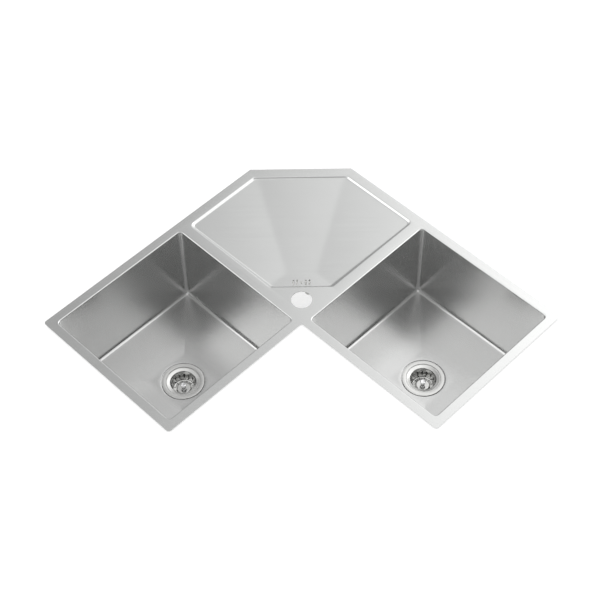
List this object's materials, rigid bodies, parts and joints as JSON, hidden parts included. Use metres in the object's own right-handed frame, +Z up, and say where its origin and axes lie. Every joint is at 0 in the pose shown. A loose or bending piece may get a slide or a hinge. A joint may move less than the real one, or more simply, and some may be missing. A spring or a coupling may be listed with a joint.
{
  "type": "corner kitchen sink",
  "caption": "L-shaped stainless steel corner kitchen sink with square bowls on its legs, a faceted drainboard in the corner, basket strainers, a tap hole and rim clips.",
  "frame": {"origin": "centre of the tap hole, on the deck's top face", "axes": "+Z up out of the deck; the right leg runs along +X and the left leg along -Y, with the walls at -X and +Y; the sink mirrors about the vertical plane through the origin and the (-X, +Y) corner"},
  "size_m": [0.922, 0.922, 0.4187],
  "materials": {
    "deck_steel": "brushed, satin",
    "bowl_steel": "brushed, satin",
    "strainer_steel": "polished",
    "knob_chrome": "polished",
    "pipe_chrome": "polished",
    "screw_steel": "bright zinc",
    "bracket_steel": "mill finish",
    "claw_steel": "zinc plated",
    "zinc": "die-cast, satin",
    "rim_foam": "matte foam",
    "pad_rubber": "matte",
    "seal_rubber": "matte",
    "stopper_rubber": "matte",
    "card": "matte fibre",
    "washer_plastic": "matte",
    "white_plastic": "smooth, slightly milky"
  },
  "bodies": {
    "sink": {"deck_panel": "deck_steel", "rim_seal": "rim_foam", "drainboard_pad": "pad_rubber", "clip_rails": "bracket_steel", "clip_screws": "screw_steel", "outlet_gasket": "seal_rubber", "outlet_cup": "white_plastic", "outlet_screw": "screw_steel", "right_bowl": "bowl_steel", "right_bowl_pads": "pad_rubber", "right_flange_seal": "seal_rubber", "right_strainer_cup": "strainer_steel", "right_strainer_gasket": "seal_rubber", "right_friction_ring": "card", "right_locknut": "zinc", "right_tailpiece_washer": "washer_plastic", "right_tailpiece": "pipe_chrome", "right_coupling_nut": "zinc", "left_bowl": "bowl_steel", "left_bowl_pads": "pad_rubber", "left_flange_seal": "seal_rubber", "left_strainer_cup": "strainer_steel", "left_strainer_gasket": "seal_rubber", "left_friction_ring": "card", "left_locknut": "zinc", "left_tailpiece_washer": "washer_plastic", "left_tailpiece": "pipe_chrome", "left_coupling_nut": "zinc"},
    "right_basket_unit": {"right_basket": "strainer_steel", "right_basket_knob": "knob_chrome", "right_basket_stopper": "stopper_rubber", "right_basket_pin": "white_plastic"},
    "left_basket_unit": {"left_basket": "strainer_steel", "left_basket_knob": "knob_chrome", "left_basket_stopper": "stopper_rubber", "left_basket_pin": "white_plastic"},
    "right_claw_1_unit": {"right_claw_1": "claw_steel"},
    "right_claw_2_unit": {"right_claw_2": "claw_steel"},
    "right_claw_3_unit": {"right_claw_3": "claw_steel"},
    "right_claw_4_unit": {"right_claw_4": "claw_steel"},
    "left_claw_1_unit": {"left_claw_1": "claw_steel"},
    "left_claw_2_unit": {"left_claw_2": "claw_steel"},
    "left_claw_3_unit": {"left_claw_3": "claw_steel"},
    "left_claw_4_unit": {"left_claw_4": "claw_steel"}
  },
  "joints": [
    {"name": "right_basket_lift", "type": "slide", "parent": "sink", "child": "right_basket_unit", "axis": [0, 0, 1], "range_m": [0, 0.34]},
    {"name": "left_basket_lift", "type": "slide", "parent": "sink", "child": "left_basket_unit", "axis": [0, 0, 1], "range_m": [0, 0.34]},
    {"name": "right_claw_1_travel", "type": "slide", "parent": "sink", "child": "right_claw_1_unit", "axis": [0, 0, 1], "range_m": [-0.018, 0.02]},
    {"name": "right_claw_2_travel", "type": "slide", "parent": "sink", "child": "right_claw_2_unit", "axis": [0, 0, 1], "range_m": [-0.018, 0.02]},
    {"name": "right_claw_3_travel", "type": "slide", "parent": "sink", "child": "right_claw_3_unit", "axis": [0, 0, 1], "range_m": [-0.018, 0.02]},
    {"name": "right_claw_4_travel", "type": "slide", "parent": "sink", "child": "right_claw_4_unit", "axis": [0, 0, 1], "range_m": [-0.018, 0.02]},
    {"name": "left_claw_1_travel", "type": "slide", "parent": "sink", "child": "left_claw_1_unit", "axis": [0, 0, 1], "range_m": [-0.018, 0.02]},
    {"name": "left_claw_2_travel", "type": "slide", "parent": "sink", "child": "left_claw_2_unit", "axis": [0, 0, 1], "range_m": [-0.018, 0.02]},
    {"name": "left_claw_3_travel", "type": "slide", "parent": "sink", "child": "left_claw_3_unit", "axis": [0, 0, 1], "range_m": [-0.018, 0.02]},
    {"name": "left_claw_4_travel", "type": "slide", "parent": "sink", "child": "left_claw_4_unit", "axis": [0, 0, 1], "range_m": [-0.018, 0.02]}
  ]
}
